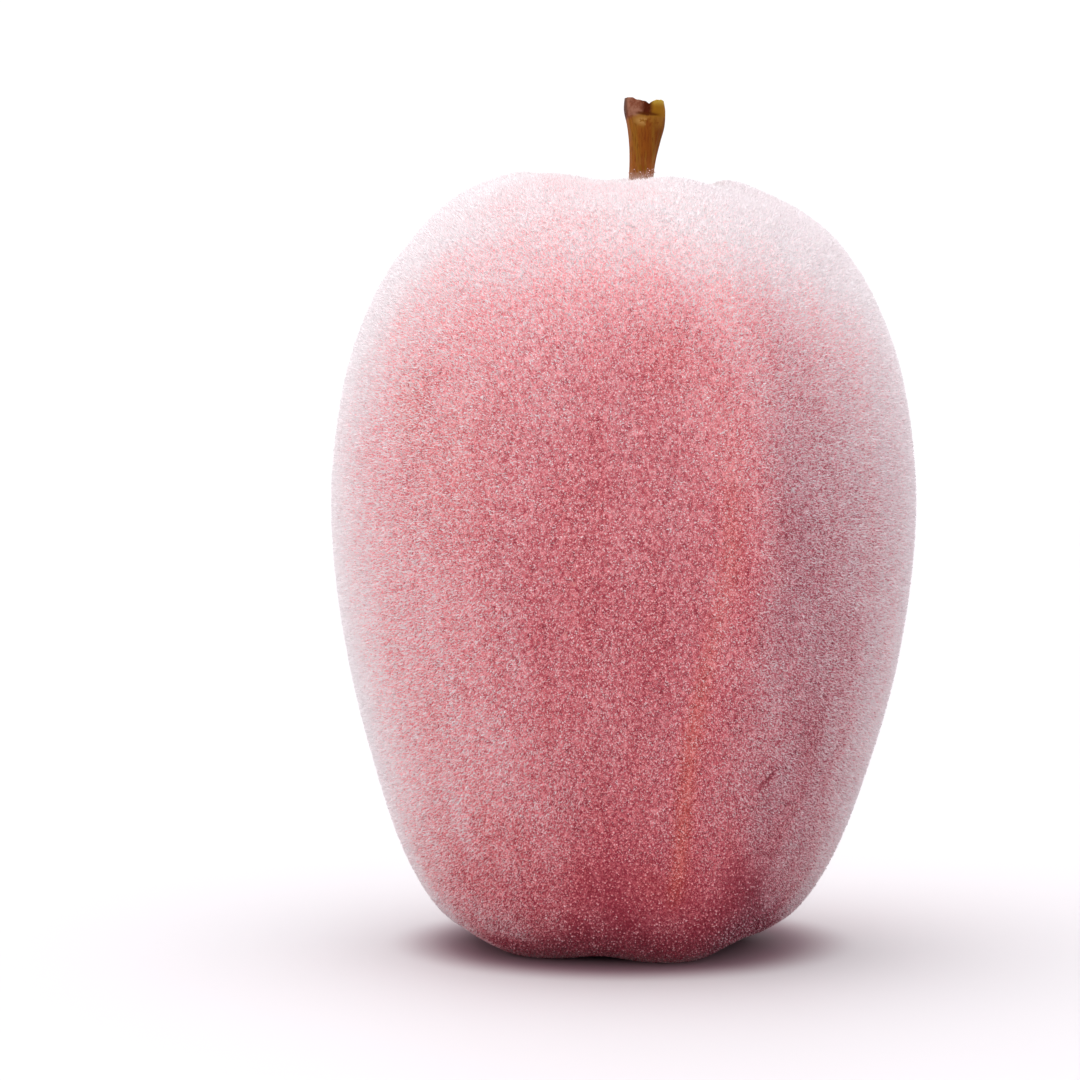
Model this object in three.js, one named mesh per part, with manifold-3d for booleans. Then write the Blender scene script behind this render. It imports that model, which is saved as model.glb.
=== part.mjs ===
// A tall, softly five-ribbed apple, standing on the lobes round its eye, with its stalk in the
// hollow at the top and the dried remains of the flower in the hollow underneath.
//
// Millimetres, +Z up. The origin is under the middle of the apple, on the surface it stands on.
// -Y is the side that faces a viewer, and +X is to that viewer's right.

import * as THREE from "three";
import { mergeVertices } from "three/addons/utils/BufferGeometryUtils.js";
import Module from "manifold-3d";

const wasm = await Module();
wasm.setup();

// The apple's outline from the floor of the stalk hollow, over the shoulder and down to the eye.
// Each row is one point of the outline down a rib and the matching point down a furrow:
// [rib radius, rib height, furrow radius, furrow height].
const OUTLINE = [
  [0.0, 77.6, 0.0, 77.6],
  [3.0, 78.1, 3.0, 78.1],
  [5.6, 83.0, 5.8, 82.6],
  [8.1, 89.6, 8.3, 88.9],
  [11.8, 92.4, 11.6, 91.3],
  [16.8, 91.3, 16.4, 90.2],
  [21.7, 88.6, 21.2, 87.9],
  [26.4, 84.0, 25.9, 83.5],
  [30.5, 77.5, 29.8, 77.1],
  [33.7, 68.4, 33.0, 68.2],
  [35.4, 56.5, 34.6, 56.5],
  [35.2, 45.5, 34.3, 45.5],
  [33.5, 33.5, 32.5, 33.6],
  [30.7, 22.0, 29.5, 22.2],
  [27.1, 11.0, 25.6, 11.5],
  [22.9, 3.6, 21.1, 4.4],
  [18.3, 0.5, 16.9, 1.7],
  [13.2, -0.8, 12.5, 1.2],
  [9.4, 1.6, 9.0, 3.2],
  [6.6, 6.4, 6.4, 7.1],
  [3.4, 9.4, 3.4, 9.5],
  [0.0, 9.9, 0.0, 9.9],
];

// The five ribs, one for each carpel. Azimuth 0 faces the viewer and 90 is to the viewer's right.
// Each rib has its own strength at the shoulder and at the foot, and its own sharpness.
const RIBS = [
  { azimuth: 25, shoulder: 1.0, foot: 1.0, sharpness: 12 },
  { azimuth: 102, shoulder: 0.85, foot: 0.55, sharpness: 12 },
  { azimuth: 169, shoulder: 0.95, foot: 0.9, sharpness: 12 },
  { azimuth: -108, shoulder: 1.0, foot: 0.85, sharpness: 11 },
  { azimuth: -44, shoulder: 0.95, foot: 0.8, sharpness: 7 },
];
const FOOT_BELOW = 15; // the ribs change from their foot to their shoulder between these heights
const SHOULDER_ABOVE = 65;

const SIDE_FLATTENING = 0.985; // depth over width
const FOOT_SHIFT = [-0.4, 0.7]; // the apple leans: its foot is this far to the left and back
const FOOT_SHIFT_BELOW = 35; // the shift begins below this height
const RIM_TILT = 0.035; // the rim of the stalk hollow stands higher on the viewer's left
const RIM_FROM = 84; // the tilt grows between these heights
const RIM_FULL = 92;
const STALK_OFFSET = 1.3; // the stalk hollow is a little off the middle, to the right
const HOLLOW_FROM = 70; // the offset grows upwards between these heights
const HOLLOW_FULL = 90;
const HOLLOW_RADIUS = 18; // and fades out from the stalk to this radius

const FLESH_AROUND = 72;
const FLESH_ALONG = 50;

// The stalk: a bent line, with a thick, broken-off head. Each row is one section:
// [height, sideways, towards the viewer, width, depth].
const STALK = [
  [75.6, 1.3, 0.0, 2.3, 2.3],
  [77.8, 1.3, 0.0, 3.0, 2.9],
  [80.2, 1.4, 0.1, 2.9, 2.7],
  [83.5, 1.6, 0.3, 2.8, 2.6],
  [87.0, 1.8, 0.4, 2.9, 2.6],
  [90.5, 1.95, 0.4, 3.0, 2.7],
  [93.6, 2.2, 0.3, 3.15, 2.9],
  [96.1, 2.45, 0.1, 3.8, 3.4],
  [98.0, 2.6, 0.0, 4.55, 4.0],
  [99.8, 2.45, 0.0, 5.1, 4.4],
  [101.1, 2.4, 0.0, 4.8, 4.1],
];
const STALK_AROUND = 20;
const STALK_ALONG = 30;
const HEAD_SLOPE = 0.14; // the broken end is higher on the left
const HEAD_DIMPLE = 0.9; // how deep the middle of the broken end is sunk
const SOCKET_GAP = 0.3;
const SOCKET_FLOOR = 75.2;

// The dried flower in the eye: a small cup, five sepals that lean together and bend out at their
// tips, and what is left of the stamens between them.
const EYE_CEILING = 9.5;
const EYE_OFFSET = [-0.3, 0.55];
const CUP_RADIUS = 3.1;
const CUP_DEPTH = 1.6;
const SEPALS = 5;
const SEPAL_FIRST_AZIMUTH = 62;
// [distance from the middle, height, width, thickness] along a sepal, from root to tip.
const SEPAL = [
  [2.2, 8.9, 2.6, 0.8],
  [2.5, 7.4, 3.1, 0.75],
  [1.9, 5.9, 2.7, 0.7],
  [1.7, 4.6, 1.9, 0.65],
  [2.5, 3.6, 1.1, 0.6],
  [3.7, 3.3, 0.35, 0.5],
];
const SEPAL_ALONG = 10;
const SEPAL_AROUND = 8;
const STAMENS = 7;
const STAMEN_LENGTH = 3.6;
const STAMEN_RADIUS = 0.32;

const radians = THREE.MathUtils.degToRad;
const mix = THREE.MathUtils.lerp;
const smoothstep = THREE.MathUtils.smoothstep;

// A curve through the rows of a table, read column by column.
function tableCurve(rows) {
  const columns = rows[0].map((_, column) =>
    new THREE.SplineCurve(rows.map((row, i) => new THREE.Vector2(i, row[column]))));
  return (t) => columns.map((curve) => curve.getPoint(t).y);
}

const outlineAt = tableCurve(OUTLINE);

// 1 on a strong rib and near 0 in a furrow.
function ribbing(azimuth, height) {
  const rise = smoothstep(height, FOOT_BELOW, SHOULDER_ABOVE);
  return RIBS.reduce((sum, rib) => {
    const away = Math.cos(azimuth - radians(rib.azimuth)) - 1;
    return sum + mix(rib.foot, rib.shoulder, rise) * Math.exp(rib.sharpness * away);
  }, 0);
}

// A point of the apple's skin: t runs from the stalk hollow, 0, to the eye, 1.
function skinPoint(t, azimuth) {
  const [ribRadius, ribHeight, furrowRadius, furrowHeight] = outlineAt(t);
  const rib = ribbing(azimuth, furrowHeight);
  const radius = mix(furrowRadius, ribRadius, rib);
  const height = mix(furrowHeight, ribHeight, rib);
  const towardsStalk = 1 - smoothstep(radius, 0, HOLLOW_RADIUS);
  const shift = STALK_OFFSET * smoothstep(height, HOLLOW_FROM, HOLLOW_FULL) * towardsStalk;
  const foot = 1 - smoothstep(height, 0, FOOT_SHIFT_BELOW);
  const x = radius * Math.sin(azimuth) + shift + FOOT_SHIFT[0] * foot;
  const y = -radius * Math.cos(azimuth) * SIDE_FLATTENING + FOOT_SHIFT[1] * foot;
  const tilt = RIM_TILT * smoothstep(height, RIM_FROM, RIM_FULL);
  return new THREE.Vector3(x, y, Math.max(0, height - tilt * x));
}

// A closed surface from rings of points that run the same way, with a point at each end.
function closedRings(first, rings, last) {
  const around = rings[0].length;
  const points = [first, ...rings.flat(), last];
  const index = [];
  const at = (ring, i) => 1 + ring * around + (i % around);
  for (let i = 0; i < around; i++) {
    index.push(0, at(0, i), at(0, i + 1));
    for (let ring = 0; ring + 1 < rings.length; ring++) {
      index.push(at(ring, i), at(ring + 1, i), at(ring + 1, i + 1));
      index.push(at(ring, i), at(ring + 1, i + 1), at(ring, i + 1));
    }
    index.push(at(rings.length - 1, i), points.length - 1, at(rings.length - 1, i + 1));
  }
  return new THREE.BufferGeometry().setFromPoints(points).setIndex(index);
}

function solidOf(geometry) {
  const bare = geometry.clone();
  bare.deleteAttribute("normal");
  bare.deleteAttribute("uv");
  const merged = mergeVertices(bare, 1e-4);
  return new wasm.Manifold(new wasm.Mesh({
    numProp: 3,
    vertProperties: merged.attributes.position.array,
    triVerts: new Uint32Array(merged.index.array),
  }));
}

function geometryOf(solid) {
  const mesh = solid.getMesh();
  return new THREE.BufferGeometry()
    .setAttribute("position", new THREE.BufferAttribute(mesh.vertProperties, 3))
    .setIndex(new THREE.BufferAttribute(mesh.triVerts, 1));
}

function turn(i, count) {
  return (2 * Math.PI * i) / count;
}

function fleshGeometry() {
  const rings = [];
  for (let ring = 1; ring < FLESH_ALONG; ring++) {
    const t = ring / FLESH_ALONG;
    rings.push(Array.from({ length: FLESH_AROUND }, (_, i) => skinPoint(t, turn(i, FLESH_AROUND))));
  }
  const skin = closedRings(skinPoint(0, 0), rings, skinPoint(1, 0));

  // The stalk's foot stands in a socket a little wider than it is.
  const [height, sideways, forward, width] = STALK[1];
  const depth = height - SOCKET_FLOOR + 1.5;
  const radius = width / 2 + SOCKET_GAP;
  const socket = new THREE.CylinderGeometry(radius, radius, depth, STALK_AROUND);
  socket.rotateX(Math.PI / 2);
  socket.translate(sideways, -forward, SOCKET_FLOOR + depth / 2);
  return geometryOf(solidOf(skin).subtract(solidOf(socket)));
}

function stalkGeometry() {
  const sectionAt = tableCurve(STALK);
  const headFrom = STALK[7][0];
  const headTo = STALK[STALK.length - 1][0];
  const ring = (t, scale, sink) => {
    const [height, sideways, forward, width, depth] = sectionAt(t);
    const tilt = HEAD_SLOPE * smoothstep(height, headFrom, headTo);
    return Array.from({ length: STALK_AROUND }, (_, i) => {
      const x = Math.cos(turn(i, STALK_AROUND)) * (width / 2) * scale;
      const y = Math.sin(turn(i, STALK_AROUND)) * (depth / 2) * scale;
      return new THREE.Vector3(sideways + x, -forward + y, height - tilt * x - sink);
    });
  };
  const rings = [];
  for (let i = 0; i <= STALK_ALONG; i++) {
    rings.push(ring(i / STALK_ALONG, 1, 0));
  }
  rings.push(ring(1, 0.72, HEAD_DIMPLE * 0.15));
  rings.push(ring(1, 0.4, HEAD_DIMPLE * 0.75));
  const middle = (points) => points
    .reduce((sum, point) => sum.add(point), new THREE.Vector3())
    .divideScalar(points.length);
  const foot = middle(rings[0]);
  const top = middle(rings[rings.length - 1]);
  top.z -= HEAD_DIMPLE * 0.25;
  return closedRings(top, rings.reverse(), foot);
}

function sepalGeometry(azimuth) {
  const sectionAt = tableCurve(SEPAL);
  const outward = new THREE.Vector3(Math.sin(azimuth), -Math.cos(azimuth), 0);
  const across = new THREE.Vector3(Math.cos(azimuth), Math.sin(azimuth), 0);
  const centre = (t) => {
    const [distance, height] = sectionAt(t);
    return outward.clone().multiplyScalar(distance).setZ(height);
  };
  const rings = [];
  for (let i = 0; i <= SEPAL_ALONG; i++) {
    const t = i / SEPAL_ALONG;
    const [, , width, thickness] = sectionAt(t);
    const ahead = centre(Math.min(1, t + 0.02)).sub(centre(Math.max(0, t - 0.02))).normalize();
    const face = across.clone().cross(ahead).normalize();
    rings.push(Array.from({ length: SEPAL_AROUND }, (_, k) => centre(t)
      .addScaledVector(across, Math.cos(turn(k, SEPAL_AROUND)) * (width / 2))
      .addScaledVector(face, Math.sin(turn(k, SEPAL_AROUND)) * (thickness / 2))));
  }
  return closedRings(centre(0), rings, centre(1));
}

function stamenGeometry(azimuth, lean) {
  const spike = new THREE.ConeGeometry(STAMEN_RADIUS, STAMEN_LENGTH, 5);
  spike.rotateX(-Math.PI / 2);
  spike.translate(0, 0, -STAMEN_LENGTH / 2);
  spike.rotateY(lean);
  spike.rotateZ(azimuth);
  const root = EYE_CEILING - CUP_DEPTH + 0.6;
  spike.translate(0.9 * Math.cos(azimuth), 0.9 * Math.sin(azimuth), root);
  return spike;
}

function calyxGeometry() {
  const cup = new THREE.LatheGeometry([
    new THREE.Vector2(0, EYE_CEILING - CUP_DEPTH),
    new THREE.Vector2(CUP_RADIUS * 0.72, EYE_CEILING - CUP_DEPTH * 0.9),
    new THREE.Vector2(CUP_RADIUS, EYE_CEILING - CUP_DEPTH * 0.45),
    new THREE.Vector2(CUP_RADIUS * 0.8, EYE_CEILING - 0.1),
    new THREE.Vector2(0, EYE_CEILING),
  ], 20);
  cup.rotateX(Math.PI / 2);
  let calyx = solidOf(cup);
  for (let i = 0; i < SEPALS; i++) {
    const azimuth = radians(SEPAL_FIRST_AZIMUTH) + turn(i, SEPALS);
    calyx = calyx.add(solidOf(sepalGeometry(azimuth)));
  }
  for (let i = 0; i < STAMENS; i++) {
    const lean = radians(6 + 5 * (i % 3));
    calyx = calyx.add(solidOf(stamenGeometry(turn(i, STAMENS), lean)));
  }
  return geometryOf(calyx.translate([...EYE_OFFSET, 0]));
}

const skinRed = new THREE.MeshStandardMaterial({ color: 0xb8606c, roughness: 0.75, metalness: 0 });
const stalkBrown = new THREE.MeshStandardMaterial({ color: 0x8a5a22, roughness: 0.65, metalness: 0 });
const driedBrown = new THREE.MeshStandardMaterial({ color: 0x5b4630, roughness: 0.9, metalness: 0 });

function part(name, geometry, material) {
  const mesh = new THREE.Mesh(geometry, material);
  mesh.name = name;
  return mesh;
}

const apple = new THREE.Group();
const flesh = part("flesh", fleshGeometry(), skinRed);
apple.add(flesh);
apple.add(part("stalk", stalkGeometry(), stalkBrown));
apple.add(part("calyx", calyxGeometry(), driedBrown));

// The origin is under the middle of the flesh.
const middle = new THREE.Box3().setFromObject(flesh).getCenter(new THREE.Vector3());
apple.position.set(-middle.x, -middle.y, 0);

export default apple;
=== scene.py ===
import math

import bpy
import numpy as np
from bpy.props import FloatProperty, FloatVectorProperty, IntProperty, PointerProperty
from bpy.types import Operator, Panel, PropertyGroup
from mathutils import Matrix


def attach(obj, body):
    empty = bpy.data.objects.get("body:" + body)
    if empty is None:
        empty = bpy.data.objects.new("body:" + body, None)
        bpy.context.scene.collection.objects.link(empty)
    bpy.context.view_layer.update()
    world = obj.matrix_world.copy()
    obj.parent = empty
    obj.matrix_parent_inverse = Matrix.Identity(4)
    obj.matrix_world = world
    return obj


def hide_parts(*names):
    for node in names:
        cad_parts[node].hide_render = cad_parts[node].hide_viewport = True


bl_info = {
    "name": "Frosted Apple",
    "version": (1, 0, 0),
    "blender": (4, 5, 0),
    "location": "3D View > Sidebar > Apple",
    "description": "Dresses a packed apple with its skin, frost, stalk and dried flower",
    "category": "Object",
}

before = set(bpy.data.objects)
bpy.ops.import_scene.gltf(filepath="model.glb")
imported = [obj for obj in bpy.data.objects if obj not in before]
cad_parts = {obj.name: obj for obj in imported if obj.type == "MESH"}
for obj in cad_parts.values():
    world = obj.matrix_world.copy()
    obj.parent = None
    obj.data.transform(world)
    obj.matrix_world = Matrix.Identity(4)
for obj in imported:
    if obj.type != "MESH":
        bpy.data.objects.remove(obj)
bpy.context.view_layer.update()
MM = 0.001
SEED = 11

# The outline and the ribs of the solid flesh, in millimetres and degrees. A row of OUTLINE is a
# rib's radius and height, then a furrow's. A row of RIBS is an azimuth, the rib's strength at the
# shoulder and at the foot, and its sharpness.
OUTLINE = np.array([
    [0.0, 77.6, 0.0, 77.6],
    [3.0, 78.1, 3.0, 78.1],
    [5.6, 83.0, 5.8, 82.6],
    [8.1, 89.6, 8.3, 88.9],
    [11.8, 92.4, 11.6, 91.3],
    [16.8, 91.3, 16.4, 90.2],
    [21.7, 88.6, 21.2, 87.9],
    [26.4, 84.0, 25.9, 83.5],
    [30.5, 77.5, 29.8, 77.1],
    [33.7, 68.4, 33.0, 68.2],
    [35.4, 56.5, 34.6, 56.5],
    [35.2, 45.5, 34.3, 45.5],
    [33.5, 33.5, 32.5, 33.6],
    [30.7, 22.0, 29.5, 22.2],
    [27.1, 11.0, 25.6, 11.5],
    [22.9, 3.6, 21.1, 4.4],
    [18.3, 0.5, 16.9, 1.7],
    [13.2, -0.8, 12.5, 1.2],
    [9.4, 1.6, 9.0, 3.2],
    [6.6, 6.4, 6.4, 7.1],
    [3.4, 9.4, 3.4, 9.5],
    [0.0, 9.9, 0.0, 9.9],
])
RIBS = [
    (25, 1.0, 1.0, 12),
    (102, 0.85, 0.55, 12),
    (169, 0.95, 0.9, 12),
    (-108, 1.0, 0.85, 11),
    (-44, 0.95, 0.8, 7),
]

# How many points the solid flesh has round it and along it.
SOLID_AROUND = 72
SOLID_ALONG = 50

# The stalk's sections in millimetres: height, sideways, towards the viewer, width, depth.
STALK = np.array([
    [75.6, 1.3, 0.0, 2.3, 2.3],
    [77.8, 1.3, 0.0, 3.0, 2.9],
    [80.2, 1.4, 0.1, 2.9, 2.7],
    [83.5, 1.6, 0.3, 2.8, 2.6],
    [87.0, 1.8, 0.4, 2.9, 2.6],
    [90.5, 1.95, 0.4, 3.0, 2.7],
    [93.6, 2.2, 0.3, 3.15, 2.9],
    [96.1, 2.45, 0.1, 3.8, 3.4],
    [98.0, 2.6, 0.0, 4.55, 4.0],
    [99.8, 2.45, 0.0, 5.1, 4.4],
    [101.1, 2.4, 0.0, 4.8, 4.1],
])


def smoothstep(x, low, high):
    """0 below low, 1 above high, and a smooth rise between."""
    x = np.clip((x - low) / (high - low), 0.0, 1.0)
    return x * x * (3.0 - 2.0 * x)


def mix(a, b, share):
    """a at a share of 0 and b at 1."""
    return a + (b - a) * share


def bump_at(value, centre, reach):
    """1 at the centre, fading to 0 a reach away from it on either side."""
    return 1 - smoothstep(np.abs(value - centre), 0, reach)


def curve_through(rows, t):
    """The rows of a table joined by a smooth curve, read at t from 0 to 1."""
    last = len(rows) - 1
    place = np.asarray(t, float) * last
    i = np.minimum(np.floor(place).astype(int), last)
    w = (place - i)[..., None]
    before, here, after, beyond = (rows[np.clip(i + k, 0, last)] for k in (-1, 0, 1, 2))
    leave = (after - before) / 2
    arrive = (beyond - here) / 2
    return (
        here
        + leave * w
        + (3 * (after - here) - 2 * leave - arrive) * w**2
        + (2 * (here - after) + leave + arrive) * w**3
    )


def outer_skin(t, azimuth):
    """Points of the solid's surface, in millimetres: t runs from the stalk hollow to the eye."""
    rib_radius, rib_height, furrow_radius, furrow_height = np.moveaxis(
        curve_through(OUTLINE, t), -1, 0)
    rise = smoothstep(furrow_height, 15, 65)
    rib = sum(
        mix(foot, shoulder, rise) * np.exp(sharp * (np.cos(azimuth - math.radians(a)) - 1))
        for a, shoulder, foot, sharp in RIBS)
    radius = mix(furrow_radius, rib_radius, rib)
    height = mix(furrow_height, rib_height, rib)
    shift = 1.3 * smoothstep(height, 70, 90) * (1 - smoothstep(radius, 0, 18))
    foot = 1 - smoothstep(height, 0, 35)
    x = radius * np.sin(azimuth) + shift - 0.4 * foot
    y = -radius * np.cos(azimuth) * 0.985 + 0.7 * foot
    z = height - 0.035 * smoothstep(height, 84, 92) * x
    return np.stack([x, y, np.maximum(z, 0.0)], -1)


def solid_middle():
    """Where the solid's middle lies before it is moved over the origin, in millimetres."""
    t, azimuth = np.meshgrid(
        np.arange(1, SOLID_ALONG) / SOLID_ALONG,
        2 * np.pi * np.arange(SOLID_AROUND) / SOLID_AROUND,
        indexing="ij")
    points = outer_skin(t, azimuth).reshape(-1, 3)
    middle = (points.min(0) + points.max(0)) / 2
    return np.array([middle[0], middle[1], 0.0])


MIDDLE = solid_middle()


def skin(t, azimuth, clearance):
    """Points of the skin under the frost and their outward directions, in millimetres.

    The solid's surface is that of the frost, so the skin lies inside it by the clearance, except
    on the feet, which touch what the apple stands on.
    """
    step = 1e-4
    points = outer_skin(t, azimuth)
    above, below = np.maximum(t - step, 0), np.minimum(t + step, 1)
    down = outer_skin(below, azimuth) - outer_skin(above, azimuth)
    sideways = outer_skin(t, azimuth + step * 10) - outer_skin(t, azimuth - step * 10)
    out = np.cross(down, sideways)
    length = np.linalg.norm(out, axis=-1, keepdims=True)
    out = np.where(length > 1e-9, out / np.maximum(length, 1e-9), [0.0, 0.0, 1.0])
    inset = clearance * smoothstep(points[..., 2:], 0.0, 2.5)
    return points - out * inset - MIDDLE, out


class Wire:
    """An output socket that can be used in arithmetic: each operation adds its Math node."""

    def __init__(self, material, socket):
        self.material = material
        self.socket = socket

    def math(self, operation, *values):
        return self.material.node("ShaderNodeMath", {"operation": operation}, values)

    def __add__(self, other):
        return self.math("ADD", self, other)

    def __radd__(self, other):
        return self.math("ADD", other, self)

    def __sub__(self, other):
        return self.math("SUBTRACT", self, other)

    def __rsub__(self, other):
        return self.math("SUBTRACT", other, self)

    def __mul__(self, other):
        return self.math("MULTIPLY", self, other)

    def __rmul__(self, other):
        return self.math("MULTIPLY", other, self)

    def __truediv__(self, other):
        return self.math("DIVIDE", self, other)

    def __pow__(self, other):
        return self.math("POWER", self, other)

    def between(self, low, high):
        """0 at low and 1 at high, smooth between; low may be above high."""
        settings = {"interpolation_type": "SMOOTHSTEP"}
        values = {"Value": self, "From Min": low, "From Max": high}
        return self.material.node("ShaderNodeMapRange", settings, values)

    def near(self, centre, reach):
        """1 at the centre and 0 a reach away from it on either side."""
        return self.math("ABSOLUTE", self - centre).between(reach, 0.0)


class Material:
    """A node material, or the world's light, built with Wire expressions."""

    def __init__(self, owner):
        owner.use_nodes = True
        self.owner = owner
        self.tree = owner.node_tree
        self.tree.nodes.clear()

    def node(self, kind, settings=None, values=None, output=0):
        """Add a node: its type, its settings, then its sockets' values or links."""
        node = self.tree.nodes.new(kind)
        for name, value in (settings or {}).items():
            if name == "stops":
                self.set_stops(node.color_ramp, value)
            else:
                setattr(node, name, value)
        if not isinstance(values, dict):
            values = dict(enumerate(values or ()))
        for name, value in values.items():
            if isinstance(value, Wire):
                self.tree.links.new(value.socket, node.inputs[name])
            else:
                node.inputs[name].default_value = value
        return Wire(self, node.outputs[output]) if len(node.outputs) else None

    @staticmethod
    def set_stops(ramp, stops):
        while len(ramp.elements) < len(stops):
            ramp.elements.new(1.0)
        for element, (place, colour) in zip(ramp.elements, stops):
            element.position = place
            element.color = (*colour, 1.0)

    def place(self):
        """Position on the piece in millimetres: x, y, z and the vector of all three."""
        where = self.node("ShaderNodeTexCoord", output="Object")
        scaled = {0: where, "Scale": 1 / MM}
        where = self.node("ShaderNodeVectorMath", {"operation": "SCALE"}, scaled)
        parts = [self.node("ShaderNodeSeparateXYZ", None, [where], axis) for axis in range(3)]
        return (*parts, where)

    def vector(self, x, y, z):
        return self.node("ShaderNodeCombineXYZ", None, [x, y, z])

    def noise(self, where, scale, detail, roughness):
        values = {"Vector": where, "Scale": scale, "Detail": detail, "Roughness": roughness}
        return self.node("ShaderNodeTexNoise", {"noise_dimensions": "3D"}, values)

    def blend(self, share, first, second):
        """From the first colour to the second as the share goes from 0 to 1."""
        settings = {"data_type": "RGBA", "clamp_factor": True}
        values = {0: share, 6: self.colour(first), 7: self.colour(second)}
        return self.node("ShaderNodeMix", settings, values, 2)

    @staticmethod
    def colour(value):
        """A wire as it is, and a colour with its alpha."""
        return value if isinstance(value, Wire) else (*tuple(value)[:3], 1.0)

    def bump(self, height, strength, distance):
        values = {"Strength": strength, "Distance": distance, "Height": height}
        return self.node("ShaderNodeBump", None, values)

    def surface(self, **values):
        """Close the material with a Principled shader; a name's _ stands for a space."""
        values = {name.replace("_", " "): value for name, value in values.items()}
        shader = self.node("ShaderNodeBsdfPrincipled", None, values)
        self.node("ShaderNodeOutputMaterial", None, {"Surface": shader})
        return self.owner


def new_material(name):
    return Material(bpy.data.materials.new(name))


def mesh_piece(name, points, faces, material, nodes=(), smooth=True, uv=None):
    """A mesh from points in millimetres, which rides on the apple's one body.

    faces is an array of triangles or of quads. uv, where given, has a row for each face corner,
    and nodes names the solids that the piece stands for.
    """
    points = np.asarray(points, np.float32) * MM
    faces = np.asarray(faces, np.int32)
    mesh = bpy.data.meshes.new(name)
    mesh.vertices.add(len(points))
    mesh.vertices.foreach_set("co", points.ravel())
    mesh.loops.add(faces.size)
    mesh.loops.foreach_set("vertex_index", faces.ravel())
    mesh.polygons.add(len(faces))
    starts = np.arange(0, faces.size, faces.shape[1], dtype=np.int32)
    mesh.polygons.foreach_set("loop_start", starts)
    mesh.polygons.foreach_set("use_smooth", np.full(len(faces), smooth))
    if uv is not None:
        mesh.uv_layers.new(name="OFBake").data.foreach_set("uv", np.asarray(uv, np.float32).ravel())
    mesh.update(calc_edges=True)
    mesh.validate()
    mesh.materials.append(material)
    piece = bpy.data.objects.new(name, mesh)
    bpy.context.scene.collection.objects.link(piece)
    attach(piece, "root")
    if nodes:
        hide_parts(*nodes)
    return piece


def tube_faces(rings, around):
    """Quads between rings of points that follow each other; the rings close on themselves."""
    start, i = np.meshgrid(np.arange(rings - 1) * around, np.arange(around), indexing="ij")
    after = (i + 1) % around
    quads = [start + i, start + around + i, start + around + after, start + after]
    return np.stack(quads, -1).reshape(-1, 4)


def random_field(points, wavelength, seed, waves=9):
    """A smooth random value from about -1 to 1 for each point, from waves that cross."""
    random = np.random.default_rng(seed)
    ways = random.normal(size=(waves, 3))
    ways /= np.linalg.norm(ways, axis=1, keepdims=True)
    lengths = wavelength * random.uniform(0.7, 1.5, waves)
    phase = random.uniform(0, 2 * np.pi, waves)
    turns = points @ (ways / lengths[:, None] * 2 * np.pi).T
    return np.sin(turns + phase).sum(-1) / math.sqrt(waves)


class APPLE_PG_skin(PropertyGroup):
    """Sizes and colours of the skin."""

    clearance: FloatProperty(
        name="Under the frost", description="How far the skin lies inside the frost's surface",
        default=0.57 * MM, min=0.0, unit="LENGTH")
    around: IntProperty(
        name="Points around", description="Points of the skin's mesh round the fruit",
        default=200, min=24)
    along: IntProperty(
        name="Points along", description="Points of the skin's mesh from the stalk to the eye",
        default=150, min=24)
    deep: FloatVectorProperty(
        name="Deep red", description="The darker streaks", subtype="COLOR",
        default=(0.30, 0.015, 0.035), min=0.0, max=1.0)
    straw: FloatVectorProperty(
        name="Straw", description="The colour of the stalk hollow and the eye", subtype="COLOR",
        default=(0.50, 0.34, 0.10), min=0.0, max=1.0)
    pores: FloatVectorProperty(
        name="Pores", description="The pale dots of the skin", subtype="COLOR",
        default=(0.75, 0.42, 0.30), min=0.0, max=1.0)
    scar: FloatVectorProperty(
        name="Scar", description="The thin scar low on the right", subtype="COLOR",
        default=(0.16, 0.012, 0.02), min=0.0, max=1.0)


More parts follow.
